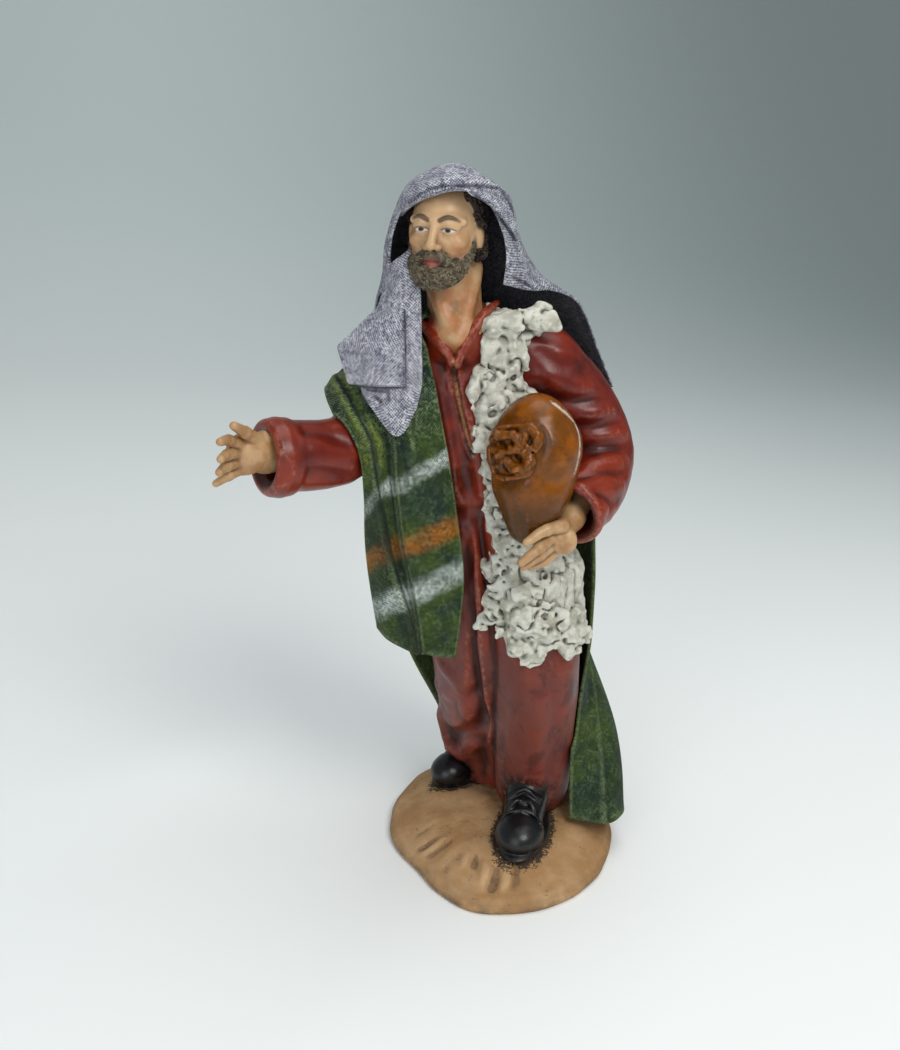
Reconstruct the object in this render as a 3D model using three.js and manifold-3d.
// A nativity shepherd, 170 mm high: a painted clay figure with cloth stiffened in glue draped over it.
// Millimetres, +Z up. The origin is the middle of the underside of the ground, and the figure faces -Y.
import * as THREE from "three";
import { mergeVertices } from "three/addons/utils/BufferGeometryUtils.js";
import Module from "manifold-3d";

const wasm = await Module();
wasm.setup();

// Driving dimensions
const ground = { halfWidth: 28.7, halfDepth: 35.5, wall: 3.4, crown: 7.6 };
const cloth = 0.9;
const gap = 0.35;
const fleeceDepth = 2.4;

// The pose: the joints that the forms hang on
const pose = {
  head: [-13.5, -2.5, 155.5],
  headTurn: -20,
  headLift: -9,
  neckTop: [-12.5, 0.5, 147],
  neckBase: [-11, 2.5, 129],
  rightShoulder: [-26, 2, 121.5],
  rightElbow: [-35, -8, 108.4],
  rightWrist: [-51.5, -18.5, 109.2],
  leftShoulder: [9, 4, 123.5],
  leftElbow: [22.3, 5, 102],
  leftWrist: [15, -13.5, 95],
  leftHip: [3, 0, 84],
  leftKnee: [8, -2.5, 52],
  leftAnkle: [8.5, 6.5, 18],
  rightHip: [-7.5, 5, 84],
  rightKnee: [-8, 11, 50],
  rightAnkle: [-5, 22.5, 18],
};

const radians = (degrees) => (degrees * Math.PI) / 180;
const mix = (a, b, t) => a + (b - a) * t;
const clamp = (x, low, high) => Math.min(high, Math.max(low, x));
const smooth = (from, to, x) => {
  const t = clamp((x - from) / (to - from), 0, 1);
  return t * t * (3 - 2 * t);
};
const hump = (x, width) => Math.exp(-((x / width) ** 2));
const turnBetween = (a, b) => ((((a - b) % 360) + 540) % 360) - 180;
const between = (a, b, t) => a.map((x, i) => mix(x, b[i], t));
const moved = (a, ...by) => a.map((x, i) => x + by[i]);
const join = (solids) => solids.reduce((all, next) => all.add(next));

// A closed geometry as a solid, its shared vertices merged and its flat triangles left out
function solid(geometry) {
  const bare = geometry.index ? geometry.toNonIndexed() : geometry.clone();
  bare.deleteAttribute("normal");
  bare.deleteAttribute("uv");
  const merged = mergeVertices(bare, 1e-4);
  const corners = [];
  for (let i = 0; i < merged.index.count; i += 3) {
    const [a, b, c] = merged.index.array.slice(i, i + 3);
    if (a !== b && b !== c && c !== a) corners.push([a, b, c]);
  }
  const made = (triangles) =>
    new wasm.Manifold(
      new wasm.Mesh({
        numProp: 3,
        vertProperties: merged.attributes.position.array,
        triVerts: new Uint32Array(triangles.flat()),
      }),
    );
  const outward = made(corners);
  return outward.volume() > 0 ? outward : made(corners.map(([a, b, c]) => [b, a, c]));
}

// Moves each vertex of a geometry by a function of its place
function shaped(geometry, place) {
  const at = geometry.attributes.position;
  for (let i = 0; i < at.count; i += 1) at.setXYZ(i, ...place(at.getX(i), at.getY(i), at.getZ(i)));
  return geometry;
}

const upright = new THREE.Matrix4();

// Each form below has solid(grow), its body with that much added all round, and away(point), the
// distance from it.

// A rounded form: a sphere drawn out to three radii, turned and set in place
function blob(centre, radii, { turn = [0, 0, 0], frame = upright, sides = 12, rings = 8 } = {}) {
  const set = new THREE.Matrix4()
    .makeRotationFromEuler(new THREE.Euler(...turn.map(radians)))
    .setPosition(...centre)
    .premultiply(frame);
  const back = set.clone().invert();
  return {
    solid(grow = 0) {
      const ball = new THREE.SphereGeometry(1, sides, rings);
      ball.rotateX(Math.PI / 2);
      ball.scale(...radii.map((r) => r + grow));
      return solid(ball.applyMatrix4(set));
    },
    away(point) {
      const p = new THREE.Vector3(...point).applyMatrix4(back).toArray();
      const near = Math.hypot(...p.map((x, i) => x / radii[i]));
      const steep = Math.hypot(...p.map((x, i) => x / radii[i] ** 2));
      return steep ? (near * (near - 1)) / steep : -Math.min(...radii);
    },
  };
}

// A limb: a sphere drawn out along a curve through the points, with its own radius at each. Blunt
// flattens its ends.
function limb(points, radii, { frame = upright, sides = 10, steps = 3, capRings = 2, blunt = 1 } = {}) {
  const curve = new THREE.CatmullRomCurve3(points.map((p) => new THREE.Vector3(...p).applyMatrix4(frame)));
  const spans = points.length - 1;
  const rings = spans * steps + 2 * capRings;
  const whole = curve.getPoint(1).sub(curve.getPoint(0));
  const steady = Math.abs(whole.z) > 0.7 * whole.length() ? [0, -1, 0] : [0, 0, 1];
  const radiusAt = (t) => {
    const span = Math.min(spans - 1, Math.floor(t * spans));
    return mix(radii[span], radii[span + 1], t * spans - span);
  };
  const stops = Array.from({ length: spans * steps + 1 }, (_, i) => i / (spans * steps));
  const spine = stops.map((t) => [curve.getPoint(t), radiusAt(t)]);
  return {
    solid(grow = 0) {
      return solid(
        shaped(new THREE.SphereGeometry(1, sides, rings), (x, y, z) => {
          const ring = Math.round((Math.acos(clamp(y, -1, 1)) / Math.PI) * rings);
          const t = clamp((ring - capRings) / (spans * steps), 0, 1);
          const cap = Math.min(0, ring - capRings) + Math.max(0, ring - rings + capRings);
          const lean = (cap / capRings) * (Math.PI / 2);
          const along = curve.getTangent(t).normalize();
          const side = new THREE.Vector3(...steady).cross(along).normalize();
          const up = along.clone().cross(side);
          const radius = radiusAt(t) + grow;
          const girth = Math.abs(cap) === capRings ? 0 : (Math.cos(lean) * radius) / Math.hypot(x, z);
          return curve
            .getPoint(t)
            .addScaledVector(along, Math.sin(lean) * radius * blunt)
            .addScaledVector(side, girth * x)
            .addScaledVector(up, girth * z)
            .toArray();
        }),
      );
    },
    away(point) {
      const p = new THREE.Vector3(...point);
      const nearest = spine.slice(1).map(([end, endRadius], i) => {
        const [start, startRadius] = spine[i];
        const run = end.clone().sub(start);
        const t = clamp(p.clone().sub(start).dot(run) / run.lengthSq(), 0, 1);
        return p.distanceTo(start.clone().addScaledVector(run, t)) - mix(startRadius, endRadius, t);
      });
      return Math.min(...nearest);
    },
  };
}

// A ridge: a thin limb with few sides
const ridge = (points, radii, more = {}) => limb(points, radii, { sides: 5, steps: 1, capRings: 1, ...more });

// A smooth curve through the levels, each a height with its values
function levelAt(levels, height) {
  const last = levels.length - 1;
  const z = clamp(height, levels[0][0], levels[last][0]);
  const i = clamp(levels.findIndex((level) => level[0] > z) - 1, -1, last - 1);
  const n = i < 0 ? last - 1 : i;
  const slope = (k, column) => {
    const [low, high] = [levels[Math.max(0, k - 1)], levels[Math.min(last, k + 1)]];
    return (high[column] - low[column]) / (high[0] - low[0]);
  };
  const span = levels[n + 1][0] - levels[n][0];
  const t = (z - levels[n][0]) / span;
  return levels[0].slice(1).map((_, c) => {
    const [a, b] = [levels[n][c + 1], levels[n + 1][c + 1]];
    const rise = t * t * (3 - 2 * t);
    const leave = t * (1 - t) ** 2 * slope(n, c + 1) * span;
    const arrive = t * t * (1 - t) * slope(n + 1, c + 1) * span;
    return mix(a, b, rise) + leave - arrive;
  });
}

// A column of ellipses, one at each height, with folds that push its skin in or out. Its sides crowd
// toward one bearing, where the folds are finest.
function column(levels, fold, { sides, rings, front, crowding }) {
  const [bottom, top] = [levels[0][0], levels[levels.length - 1][0]];
  return {
    solid(grow = 0) {
      return solid(
        shaped(new THREE.CylinderGeometry(1, 1, 1, sides, rings), (x, y, z) => {
          const height = mix(bottom, top, y + 0.5) + (y > 0.49 ? grow : 0) - (y < -0.49 ? grow : 0);
          const [cx, cy, rx, ry] = levelAt(levels, height);
          if (Math.hypot(x, z) < 0.5) return [cx, cy, height];
          const even = (Math.atan2(-z, x) * 180) / Math.PI;
          const bearing = even - crowding * Math.sin(radians(even - front));
          const out = fold(bearing, height) + grow;
          const [east, north] = [Math.cos(radians(bearing)), Math.sin(radians(bearing))];
          return [cx + (rx + out) * east, cy + (ry + out) * north, height];
        }),
      );
    },
    away([x, y, z]) {
      const [cx, cy, rx, ry] = levelAt(levels, z);
      const near = Math.hypot((x - cx) / rx, (y - cy) / ry);
      const steep = Math.hypot((x - cx) / rx ** 2, (y - cy) / ry ** 2) || 1;
      const bearing = (Math.atan2((y - cy) / ry, (x - cx) / rx) * 180) / Math.PI;
      const flat = (near * (near - 1)) / steep - fold(bearing, z);
      return Math.max(flat, z - top, bottom - z);
    },
  };
}

// Ground: a mound of clay, flat below, with finger marks pressed in along its front left edge
const fingerMarks = { from: 196, to: 284, count: 8, depth: 0.7 };

function groundReach(bearing) {
  const [c, s] = [Math.cos(radians(bearing)), Math.sin(radians(bearing))];
  const oval = 1 / Math.hypot(c / ground.halfWidth, s / ground.halfDepth);
  return oval - 3.4 * hump(turnBetween(bearing, 222), 24) + 0.6 * hump(turnBetween(bearing, 258), 9);
}

function groundHeight(bearing, reach) {
  const slope = mix(ground.crown, ground.wall, smooth(0.5, 1, reach) ** 1.4);
  const { from, to, count, depth } = fingerMarks;
  const share = (((bearing + 360) % 360) - from) / (to - from);
  const endsFade = smooth(0, 0.1, share) * smooth(1, 0.9, share);
  const inMarks = endsFade * smooth(0.52, 0.66, reach) * smooth(0.99, 0.9, reach);
  return slope + depth * inMarks * Math.cos(2 * Math.PI * (share * count + reach));
}

function groundSolid() {
  const steps = [0.5, 0.68, 0.82, 0.94, 1];
  const profile = [0, ...steps, 1, 0].map((reach, i) => new THREE.Vector2(reach, i > steps.length ? 0 : 1));
  const turned = new THREE.LatheGeometry(profile, 38);
  return solid(
    shaped(turned, (x, y, z) => {
      const reach = Math.hypot(x, z);
      const bearing = (Math.atan2(-z, x) * 180) / Math.PI;
      const far = groundReach(bearing);
      return [x * far, -z * far, y > 0.5 ? groundHeight(bearing, reach) : 0];
    }),
  );
}

// Boots: a sole, a rounded toe and a shaft that goes up under the robe
function boot(ankle, toe, size) {
  const along = Math.atan2(toe[1] - ankle[1], toe[0] - ankle[0]);
  const turn = [0, 0, (along * 180) / Math.PI];
  const middle = between(ankle, toe, 0.52);
  const reach = Math.hypot(toe[0] - ankle[0], toe[1] - ankle[1]);
  const floor = ground.crown;
  return [
    blob([...middle.slice(0, 2), floor + 0.3], [reach * 0.64, size * 1.08, 1.7], {
      turn,
      sides: 12,
      rings: 4,
    }),
    blob([...between(ankle, toe, 0.8).slice(0, 2), floor + 2.9], [size * 1.15, size, size * 0.8], {
      turn,
      sides: 9,
      rings: 5,
    }),
    limb(
      [
        [...between(ankle, toe, 0.7).slice(0, 2), floor + 3.2],
        [...between(ankle, toe, 0.3).slice(0, 2), floor + 5.6],
        [ankle[0], ankle[1], floor + 13],
      ],
      [size * 0.78, size * 0.88, size * 0.92],
      { steps: 1, sides: 8, capRings: 1 },
    ),
  ];
}

const boots = [...boot([7.6, 1, 0], [3.4, -21.5, 0], 6), ...boot([-5, 22, 0], [-14.6, 10.6, 0], 5.6)];

// Robe: a column from hem to neck, and a leg that shows through the cloth on each side of a deep valley
const robeLevels = [
  [9, 4, 20, 15.3, 13.5],
  [30, 2, 13, 15.6, 15],
  [50, 0.3, 8.5, 16.6, 14.5],
  [70, -2.2, 5, 17, 13],
  [84, -4.5, 3.5, 16.4, 12],
  [92.5, -6, 3, 15.2, 11],
  [100, -7, 3.2, 16, 11.3],
  [112, -8.7, 3.8, 18, 11.8],
  [121, -9.5, 4, 18, 10.6],
  [127, -10.2, 3.8, 13.5, 8.6],
  [131.5, -11, 3, 8.5, 7],
];

// Each crease runs from one bearing at the top to another at the bottom
const creases = [
  { top: 268, bottom: 256, from: 14, to: 90, width: 6, depth: -3 },
  { top: 262, bottom: 247, from: 20, to: 88, width: 4, depth: 1.4 },
  { top: 276, bottom: 268, from: 34, to: 90, width: 4.5, depth: 1.5 },
  { top: 252, bottom: 236, from: 10, to: 84, width: 5, depth: -1.2 },
  { top: 20, bottom: 28, from: 8, to: 80, width: 9, depth: -1.4 },
  { top: 62, bottom: 58, from: 8, to: 84, width: 10, depth: -1.8 },
  { top: 100, bottom: 96, from: 8, to: 86, width: 9, depth: -1.6 },
  { top: 140, bottom: 134, from: 8, to: 84, width: 10, depth: -1.7 },
  { top: 182, bottom: 176, from: 8, to: 78, width: 9, depth: -1.3 },
];

function robeFold(bearing, height) {
  const run = creases.reduce((sum, c) => {
    const at = mix(c.bottom, c.top, clamp((height - c.from) / (c.to - c.from), 0, 1));
    const reach = smooth(c.from - 8, c.from + 6, height) * smooth(c.to + 3, c.to - 8, height);
    return sum + c.depth * reach * hump(turnBetween(bearing, at), c.width);
  }, 0);
  const belt = -1.1 * hump(height - 92, 1.6);
  const blouse = 0.8 * hump(height - 96.5, 3);
  return run + belt + blouse;
}

const robe = [
  column(robeLevels, robeFold, { sides: 30, rings: 14, front: 262, crowding: -28 }),
  limb([pose.leftHip, pose.leftKnee, pose.leftAnkle, [9, 8, 14]], [10.5, 10.8, 9.6, 9.8], {
    sides: 11,
    steps: 2,
    capRings: 1,
  }),
  limb([pose.rightHip, pose.rightKnee, pose.rightAnkle, [-4.5, 24, 16]], [9.5, 10, 9.2, 9.2], {
    steps: 2,
    capRings: 1,
  }),
];

// Folds that gather over the bent right leg: thin ridges laid on the robe
const robeRidges = [
  ridge([[-17, 6, 52], [-11.5, 0.6, 45], [-5, 1, 50]], [0.9, 1.8, 0.8]),
  ridge([[-15, 12.5, 36], [-9.5, 7.6, 33], [-4, 7.5, 37]], [0.9, 1.8, 0.8]),
  ridge([[-13, 18, 26], [-8.5, 13.8, 21], [-2, 11.5, 22]], [0.8, 1.6, 0.8]),
];

// Shoulders: slopes from the neck out to the arms
const shoulderSlope = { sides: 9, steps: 1, capRings: 1 };
const slopeTop = moved(pose.neckBase, 0, 0, 4.5);
const shoulders = [
  limb([slopeTop, moved(pose.rightShoulder, 1, 0, 1)], [6, 8], shoulderSlope),
  limb([slopeTop, moved(pose.leftShoulder, 0, 0, 1.5)], [6, 7.8], shoulderSlope),
];

// Right sleeve: held out, with a thick rim to its cuff
const cuffEnd = { sides: 8, steps: 1, capRings: 1, blunt: 0.3 };
const rightSleeve = [
  limb(
    [moved(pose.rightShoulder, 9, 1, 1), pose.rightShoulder, pose.rightElbow, pose.rightWrist],
    [8, 8.4, 7.4, 8.2],
    { sides: 11, steps: 2, blunt: 0.3 },
  ),
  limb([between(pose.rightElbow, pose.rightWrist, 0.86), moved(pose.rightWrist, -1, -0.6, 0)], [8.7, 8.9], {
    ...cuffEnd,
    sides: 11,
  }),
];
const rightMouth = limb(
  [between(pose.rightElbow, pose.rightWrist, 0.82), moved(pose.rightWrist, -6, -3.8, -0.6)],
  [5.4, 7.4],
  cuffEnd,
);

// Left sleeve: bent at the elbow, so that the forearm comes forward under the wineskin
const leftUpperArm = moved(between(pose.leftShoulder, pose.leftElbow, 0.5), 2, 0.8, 1);
const leftForearm = moved(between(pose.leftElbow, pose.leftWrist, 0.5), 1.6, 0.4, -1.4);
const leftArmpit = moved(pose.leftShoulder, -8, 0, 0);
const leftSleeve = limb(
  [leftArmpit, pose.leftShoulder, leftUpperArm, pose.leftElbow, leftForearm, pose.leftWrist],
  [7.6, 8, 8.1, 8.2, 7.9, 7.2],
  { sides: 11, steps: 2, blunt: 0.4 },
);
const leftMouth = limb(
  [between(leftForearm, pose.leftWrist, 0.55), moved(pose.leftWrist, -4, -5, -0.6)],
  [4.6, 5.9],
  cuffEnd,
);

// Collar: two raised edges that meet in a point on the chest
const collarPoint = [-11.9, -8.8, 130.6];
const collar = [
  ridge([[-19, 0, 137], [-16, -6, 134.5], collarPoint], [0.9, 1.3, 1]),
  ridge([[-3.5, 0, 138], [-8, -6.3, 135], collarPoint], [0.9, 1.3, 1]),
];

// Head: turned to its right and lifted a little. In its own frame the face looks along -Y.
const headFrame = new THREE.Matrix4()
  .makeRotationFromEuler(new THREE.Euler(radians(pose.headLift), 0, radians(pose.headTurn), "ZYX"))
  .setPosition(...pose.head);
const inHead = (more = {}) => ({ frame: headFrame, ...more });
const bothSides = (make) => [make(-1), make(1)];
const eyeHalfGap = 3.1;

const head = [
  blob([0, 0.6, 2.6], [7.6, 9.2, 8.8], inHead({ sides: 12, rings: 8 })),
  blob([0, -3, -4.6], [5.4, 5.8, 6], inHead({ sides: 10, rings: 7 })),
  ridge([[0, -8.2, 2.4], [0, -9.6, -1], [0, -10.4, -2.8]], [0.8, 1, 1.5], inHead({ sides: 6 })),
  ...bothSides((side) => blob([side * eyeHalfGap, -7.6, 0.6], [1.7, 1.2, 1], inHead({ sides: 6, rings: 4 }))),
  ...bothSides((side) => {
    const brow = [[side * 0.9, -8.6, 2.2], [side * eyeHalfGap, -8.2, 2.8], [side * 5.2, -6.8, 2]];
    return ridge(brow, [0.6, 0.8, 0.5], inHead());
  }),
  ridge([[-1.9, -8.2, -5.8], [0, -9, -5.6], [1.9, -8.2, -5.8]], [0.5, 0.9, 0.5], inHead()),
];

const neck = [
  limb([pose.neckTop, between(pose.neckTop, pose.neckBase, 0.5), pose.neckBase], [6.2, 6.2, 7.4], {
    steps: 1,
  }),
  blob([-11.6, -1.2, 132.5], [6.4, 7, 6.5], { sides: 10, rings: 6 }),
];

// Beard: locks that hang from the cheeks and the chin, and a moustache above the lips
const locks = { count: 7, spread: 82, halfWidth: 6.2, depth: 5.6, drop: -8.6, cheekDrop: -4.4, length: 3.4 };

function lock(i) {
  const turn = radians(mix(-locks.spread, locks.spread, i / (locks.count - 1)));
  const height = mix(locks.drop, locks.cheekDrop, Math.sin(turn) ** 2);
  const out = [locks.halfWidth * Math.sin(turn), -1.8 - locks.depth * Math.cos(turn)];
  const root = [out[0] * 0.92, out[1] * 0.96, height + 3];
  const tip = [out[0] * 0.8, out[1] * 0.86, height - locks.length];
  return ridge([root, [...out, height], tip], [1.6, 2.5, 1.1], inHead({ sides: 6 }));
}

const beard = [
  ...Array.from({ length: locks.count }, (_, i) => lock(i)),
  ...bothSides((side) => {
    const moustache = [[side * 0.4, -9.4, -4.4], [side * 2.6, -8.2, -5.4], [side * 3.4, -7, -7.6]];
    return ridge(moustache, [0.7, 0.9, 0.6], inHead({ sides: 6 }));
  }),
  blob([0, -5.4, -8.4], [4, 3.6, 3.6], inHead({ sides: 8, rings: 5 })),
];

// The clay body: all of these in one, with both cuffs hollowed
const sleeves = [...rightSleeve, leftSleeve];
const trunk = [...robe, ...shoulders];
const dressed = [...boots, ...trunk, ...robeRidges, ...sleeves, ...collar, ...neck];
const bodyForms = [...dressed, ...head, ...beard];

function body(grow = 0) {
  const whole = join(bodyForms.map((form) => form.solid(grow)));
  return whole.subtract(join([rightMouth, leftMouth].map((form) => form.solid(-grow))));
}

// Hands: a palm, fingers and a thumb, on a wrist that goes into the cuff. Each digit is its radii and
// its points.
const rightHand = {
  wrist: moved(pose.rightWrist, 2, 1.2, 0.4),
  palm: [-56.3, -23.6, 111.8],
  palmRadii: [3.9, 2, 4.2],
  palmTurn: [0, -8, 28],
  digits: [
    [[1.5, 1.3, 0.9], [-54.6, -22.6, 114.6], [-56.6, -26.4, 117.6], [-58.2, -29.8, 120]],
    [[1.3, 1.2, 0.9], [-58, -25.4, 114.6], [-59.8, -29, 116.6], [-60.8, -32.6, 117.4]],
    [[1.3, 1.2, 0.9], [-58.8, -26, 112.6], [-60, -30.6, 113.8], [-60.6, -34.4, 114.2]],
    [[1.3, 1.2, 0.9], [-58.8, -25.6, 110.4], [-60.4, -30, 111], [-61.2, -33.6, 111]],
    [[1.2, 1.1, 0.8], [-57.8, -24.8, 108.6], [-60.4, -28.4, 108.2], [-62.4, -31.6, 107.8]],
  ],
};
const leftHand = {
  wrist: moved(pose.leftWrist, 1.5, 2.8, 0.4),
  palm: [11.6, -20.6, 90.8],
  palmRadii: [4.2, 2, 3.6],
  palmTurn: [0, 28, -30],
  digits: [
    [[1.6, 1.4, 0.9], [12, -21.4, 94], [8, -24, 94], [3.9, -26.6, 92.2]],
    [[1.4, 1.3, 0.9], [9.6, -21.6, 91.2], [6.6, -24.4, 89.8], [2.8, -26.6, 87.4]],
    [[1.4, 1.3, 0.9], [9.8, -21.2, 89.4], [6.8, -23.8, 87.8], [3.4, -25.6, 86]],
    [[1.4, 1.2, 0.9], [10.6, -20.4, 87.6], [8, -22.6, 86], [5, -23.8, 85.2]],
  ],
};

function handSolid({ wrist, palm, palmRadii, palmTurn, digits }) {
  return join([
    limb([wrist, palm], [3, 3.2], { sides: 7, steps: 1, blunt: 0.3 }).solid(),
    blob(palm, palmRadii, { turn: palmTurn, sides: 8, rings: 6 }).solid(),
    ...digits.map(([radii, ...points]) => ridge(points, radii, { sides: 6 }).solid()),
  ]);
}

// Wineskin: a full bag that narrows to its neck below, with a knot of two curls on its face
const skinBag = limb(
  [[6.2, -14.8, 114], [6.2, -14.8, 110], [5.6, -16.4, 102.5], [4.6, -19.2, 94]],
  [8.2, 10.4, 9.2, 5],
  { sides: 14, steps: 2, capRings: 3 },
);
const curls = [
  { centre: [3.2, -23, 115.4], reach: 3, start: 200 },
  { centre: [2.6, -23.4, 110.6], reach: 3.2, start: 20 },
];
const curlStep = { turn: 68, shrink: 0.11, flat: 0.72, forward: -0.1 };

function curl({ centre, reach, start }) {
  const radii = [0.9, 1.2, 1.2, 1.1, 1, 0.8];
  const points = radii.map((_, i) => {
    const turn = radians(start + i * curlStep.turn);
    const out = reach * (1 - curlStep.shrink * i);
    return moved(centre, out * Math.cos(turn), curlStep.forward * i, curlStep.flat * out * Math.sin(turn));
  });
  return ridge(points, radii);
}

function skinSolid() {
  return join([skinBag, ...curls.map(curl)].map((form) => form.solid()))
    .subtract(join(trunk.map((form) => form.solid(fleeceDepth + gap))))
    .subtract(join(sleeves.map((form) => form.solid(gap))));
}

// Fleece: a ragged skin laid over the left shoulder and down the front, standing off the robe.
// Its outline is seen from the front.
const fleeceOutline = [
  [-5, 138], [-1.5, 141.5], [4, 140.5], [10.5, 141], [12, 137], [7, 133.5], [5, 129.5], [4.2, 123.5],
  [6, 118], [7, 103], [7.7, 91.3], [16, 80.5], [21.5, 75.5], [19.6, 70.8], [22, 65.8], [19.6, 60.5],
  [19, 56.6], [14, 57.6], [9.6, 58.8], [5.4, 53.4], [0.9, 56.6], [-1.6, 61], [-5, 64.2], [-6.4, 69.4],
  [-4.2, 74], [-4.8, 85], [-5.4, 101], [-7.2, 110.5], [-6.2, 119.5], [-8, 123.2], [-6.8, 129], [-5.6, 134.6],
];
const fleeceBack = 1;
const fleeceFront = -33;
const fleeceRoll = limb([[-3, -5.6, 135.8], [2, -4.6, 138.2], [9, -3.6, 137.4]], [2.6, 3.2, 2.4], {
  sides: 8,
});

function fleeceSolid() {
  const outline = new THREE.Shape(fleeceOutline.map(([x, z]) => new THREE.Vector2(x, z)));
  const cutter = new THREE.ExtrudeGeometry(outline, { depth: fleeceBack - fleeceFront, bevelEnabled: false });
  cutter.rotateX(Math.PI / 2);
  cutter.translate(0, fleeceBack, 0);
  const ply = join(trunk.map((form) => form.solid(fleeceDepth)));
  return ply.intersect(solid(cutter)).add(fleeceRoll.solid()).subtract(body(gap));
}

// Cloths: a thin closed sheet through rows of points, pleated, and kept clear of the forms under it
function sheet(rows, { across, down, thickness, pleat = () => 0, over = [], clear = 0 }) {
  const lines = rows.map((row) => new THREE.CatmullRomCurve3(row.map((p) => new THREE.Vector3(...p))));
  const onNet = (u, v) => new THREE.CatmullRomCurve3(lines.map((line) => line.getPoint(u))).getPoint(v);
  const facing = (u, v) => {
    const step = 1e-3;
    const [u0, u1] = [Math.max(0, u - step), Math.min(1, u + step)];
    const [v0, v1] = [Math.max(0, v - step), Math.min(1, v + step)];
    const alongU = onNet(u1, v).sub(onNet(u0, v));
    const alongV = onNet(u, v1).sub(onNet(u, v0));
    return alongU.cross(alongV).normalize();
  };
  const away = (p) => Math.min(...over.map((form) => form.away(p.toArray())));
  const lifted = (start) => {
    const p = start.clone();
    for (let round = 0; round < 4 && away(p) < clear; round += 1) {
      const near = away(p);
      const probe = (i) => away(p.clone().setComponent(i, p.getComponent(i) + 0.05)) - near;
      p.addScaledVector(new THREE.Vector3(probe(0), probe(1), probe(2)).normalize(), clear - near);
    }
    return p;
  };
  const known = new Map();
  const middle = (u, v) => {
    const key = `${u.toFixed(4)} ${v.toFixed(4)}`;
    if (!known.has(key)) {
      const normal = facing(u, v);
      known.set(key, [lifted(onNet(u, v).addScaledVector(normal, pleat(u, v))), normal]);
    }
    return known.get(key);
  };
  return solid(
    shaped(new THREE.BoxGeometry(1, 1, 1, across, down, 1), (x, y, z) => {
      const [centre, normal] = middle(x + 0.5, 0.5 - y);
      return centre.clone().addScaledVector(normal, z * thickness).toArray();
    }),
  );
}

// Cloak: a blanket laid over the right shoulder, hanging narrow in front and broad and long behind.
// Its rows go from the front hem over the shoulder to the back hem, each from the inner border outward.
const cloakRows = [
  [[-11.7, -11.5, 56.4], [-16.5, -12.5, 57.5], [-21.8, -12.5, 59], [-27, -10.5, 60.5], [-30, -6, 61.5]],
  [[-9.9, -11.5, 76.2], [-15, -12.6, 76.8], [-20.1, -13, 77.3], [-27, -12, 79], [-32, -7, 80.5]],
  [[-11.3, -11.5, 96.5], [-16.5, -13, 96.6], [-21.2, -14, 96.7], [-27, -14.2, 98], [-32, -13, 99.5]],
  [[-13, -11.5, 110.6], [-18, -13.2, 110], [-22.6, -14.5, 109.4], [-28, -15.8, 109], [-33, -16, 109.5]],
  [[-15, -10, 121.4], [-19.5, -11, 122], [-25, -11.8, 121.8], [-32, -11.5, 119], [-38.5, -9, 115.5]],
  [[-18, -4, 133], [-22, -3, 132.3], [-27, -1.5, 130.6], [-34, -0.5, 127], [-41, -1, 119.5]],
  [[-11, 9, 135], [-17, 9.5, 133], [-24, 9.5, 130], [-32, 8.5, 125], [-38.5, 6, 117]],
  [[0, 14, 131], [-8, 16, 128], [-17, 17, 124], [-27, 16, 117], [-35, 12, 108]],
  [[16, 14.5, 118], [4, 18, 115], [-8, 19, 110], [-20, 17.5, 103], [-31.5, 12, 93]],
  [[21, 14.5, 99], [8, 18.5, 98], [-7, 20, 94], [-19, 18.5, 88], [-29, 12, 79]],
  [[22.5, 8, 76], [12, 22, 76], [-5, 25, 73], [-18, 22, 68], [-27, 13, 62]],
  [[21.9, 4.5, 53], [20.5, 19, 52], [4, 30, 49], [-12, 30, 47], [-23.5, 14, 46]],
  [[18.5, -4, 27], [27.5, 3, 27], [23, 24, 26], [2, 35, 25], [-16, 25.5, 23]],
  [[17.5, -8, 9], [29, -8, 9], [28, 18, 9], [5, 36.5, 9], [-12.5, 32, 9]],
];
const cloakPleats = [
  { at: 0.5, width: 0.06, depth: 1.5 },
  { at: 0.62, width: 0.05, depth: -1.1 },
  { at: 0.75, width: 0.07, depth: 1.3 },
  { at: 0.3, width: 0.08, depth: -0.6 },
];
const cloakClear = 1.5;

function cloakPleat(u, v) {
  const depth = cloakPleats.reduce((sum, pleat) => sum + pleat.depth * hump(u - pleat.at, pleat.width), 0);
  return depth * smooth(1, 0.85, v);
}

function cloakSheet(thickness) {
  const net = { across: 11, down: 23, thickness, pleat: cloakPleat, over: dressed, clear: cloakClear };
  return sheet(cloakRows, net);
}

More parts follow.
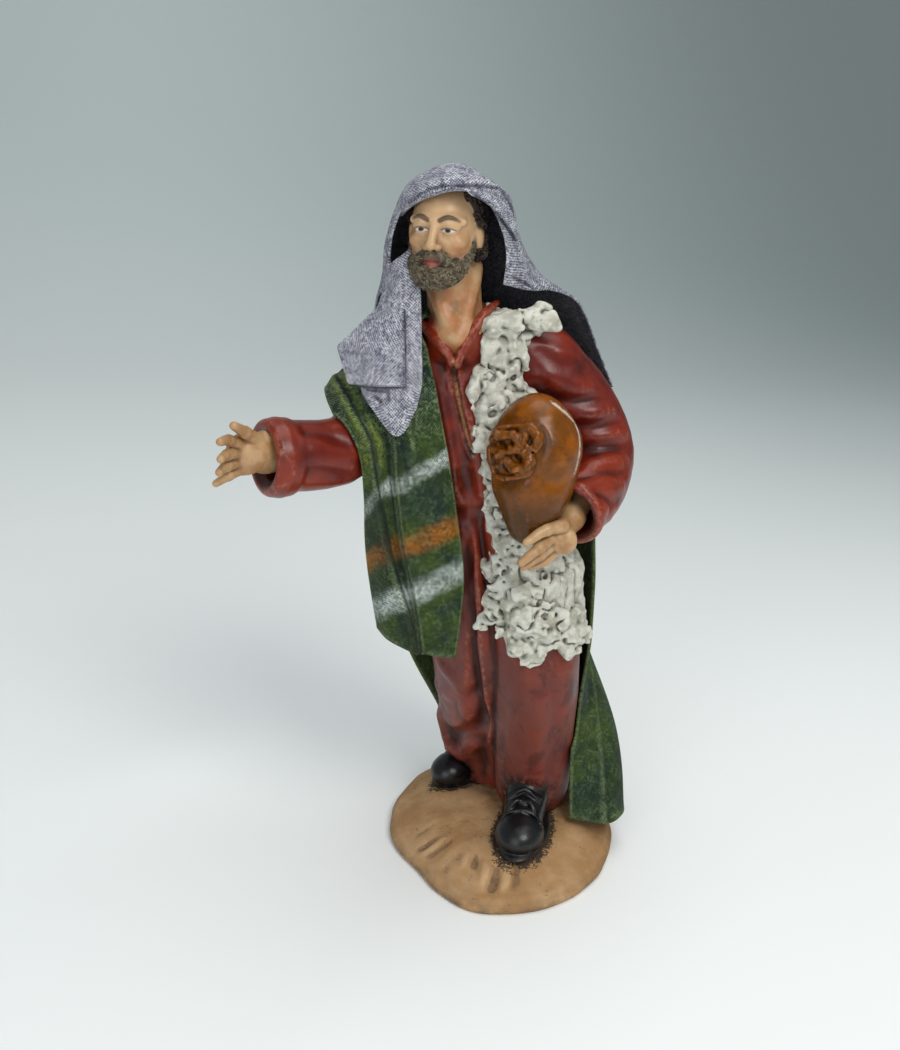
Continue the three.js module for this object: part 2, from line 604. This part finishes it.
// Headscarf: a hood over the crown, rolls wound round it, and the two ends that fall on the right shoulder.
// The hood's rows go from the edge round the face to the back hem, each from the left side over to the right.
const hoodClear = 1.4;
const hoodRows = [
  [[-1, -4, 144.3], [-0.5, -5, 150.2], [-1.5, -7, 156.2], [-5.3, -10, 163.5], [-11.9, -12.5, 166.4],
    [-19.2, -11, 164.5], [-24, -7, 159.9], [-26.4, -4, 151], [-25.2, -5, 142.5]],
  [[5.3, 2, 141.6], [3.5, 0, 148.3], [1.8, -1, 154.5], [-0.6, -3, 162.8], [-12, -5, 169.5],
    [-21, -4, 166.5], [-25.7, -2, 157.5], [-27.6, -1, 150.1], [-27, -1, 142.3]],
  [[10.2, 5, 140.9], [5, 5, 146], [2, 5, 154], [-1, 5, 161], [-10, 4, 168],
    [-19, 4, 165], [-24, 4, 157], [-27, 4, 148], [-29, 4, 140]],
  [[16.4, 8, 137.4], [9, 10, 142], [3, 12, 149], [-1, 12, 155], [-9, 12, 158],
    [-17, 12, 156], [-22, 12, 151], [-26, 11, 144], [-30, 9, 136]],
  [[21.5, 11.5, 126], [14, 14.5, 131], [6, 16, 136], [0, 17, 138], [-8, 17.5, 139],
    [-16, 17, 138], [-22, 16, 135], [-27, 14.5, 132], [-32, 12, 128]],
  [[25.7, 12.5, 116.1], [17, 18, 117], [8, 20, 118], [0, 21, 118.5], [-8, 21.5, 118.5],
    [-15, 21.5, 118.5], [-21, 21, 118.5], [-27, 19, 118], [-33, 16, 117]],
];
const lappetRows = [
  [[-19.8, -8, 144], [-21, -8.5, 144], [-23.5, -8, 144], [-26.3, -4, 143]],
  [[-19.2, -13, 133], [-21, -13.4, 133], [-25, -12.4, 133], [-31, -8, 133]],
  [[-19.3, -14.2, 124], [-22, -15, 123.6], [-27, -15, 123.4], [-32.2, -13, 123.2]],
  [[-22, -15.6, 116.5], [-24, -16, 114.6], [-26, -15.8, 114.8], [-28.7, -15, 118.4]],
];
const flapRows = [
  [[-23.6, -9, 142.6], [-24.8, -7, 143.2], [-26.1, -4, 143.6]],
  [[-23.1, -12.5, 137.1], [-27.5, -10.5, 137.4], [-31.8, -5, 136]],
  [[-22.9, -15, 131], [-29, -13.4, 131], [-37.4, -6.6, 130.6]],
  [[-22.9, -17, 125], [-28.6, -16.2, 124.7], [-34.9, -12.5, 124.1]],
];
const scarfRolls = [
  ridge(
    [[-0.5, 3, 161], [-1.6, -4, 163], [-6, -9, 166.6], [-12, -10.6, 167.8], [-18.6, -9, 165.4],
      [-22.6, -3, 161.2], [-22.6, 3, 158]],
    [2, 2.2, 2.3, 2.4, 2.4, 2.2, 1.8],
    { sides: 6 },
  ),
  ridge([[-10, -12, 166], [-4, -9.6, 161.6], [0.4, -4, 155], [2.4, 0, 148]], [1, 1.4, 1.6, 1.4]),
];

function scarfSolid() {
  const hood = sheet(hoodRows, { across: 18, down: 10, thickness: cloth, over: bodyForms, clear: hoodClear });
  const lappet = sheet(lappetRows, { across: 3, down: 5, thickness: cloth });
  const flap = sheet(flapRows, { across: 3, down: 4, thickness: cloth });
  return join([hood, lappet, flap, ...scarfRolls.map((form) => form.solid())])
    .subtract(cloakSheet(cloth + 2 * gap))
    .subtract(body(gap));
}

const paint = {
  clay: new THREE.MeshStandardMaterial({ color: 0x7d2f2a, roughness: 0.5 }),
  flesh: new THREE.MeshStandardMaterial({ color: 0xb08a66, roughness: 0.5 }),
  leather: new THREE.MeshStandardMaterial({ color: 0xa05a1e, roughness: 0.4 }),
  wool: new THREE.MeshStandardMaterial({ color: 0xb9b8ae, roughness: 0.8 }),
  scarf: new THREE.MeshStandardMaterial({ color: 0x8f8ca0, roughness: 0.9 }),
  cloak: new THREE.MeshStandardMaterial({ color: 0x3f6236, roughness: 0.9 }),
};

const figure = new THREE.Group();

function addPiece(name, made, material) {
  const { vertProperties, triVerts } = made.getMesh();
  const geometry = new THREE.BufferGeometry();
  geometry.setAttribute("position", new THREE.BufferAttribute(vertProperties, 3));
  geometry.setIndex(new THREE.BufferAttribute(triVerts, 1));
  geometry.computeVertexNormals();
  const mesh = new THREE.Mesh(geometry, material);
  mesh.name = name;
  figure.add(mesh);
}

addPiece("clay_figure", groundSolid().add(body()), paint.clay);
addPiece("right_hand", handSolid(rightHand), paint.flesh);
addPiece("left_hand", handSolid(leftHand).subtract(skinBag.solid(gap)), paint.flesh);
addPiece("wineskin", skinSolid(), paint.leather);
addPiece("fleece", fleeceSolid(), paint.wool);
addPiece("cloak", cloakSheet(cloth).subtract(body(gap)), paint.cloak);
addPiece("headscarf", scarfSolid(), paint.scarf);

export default figure;
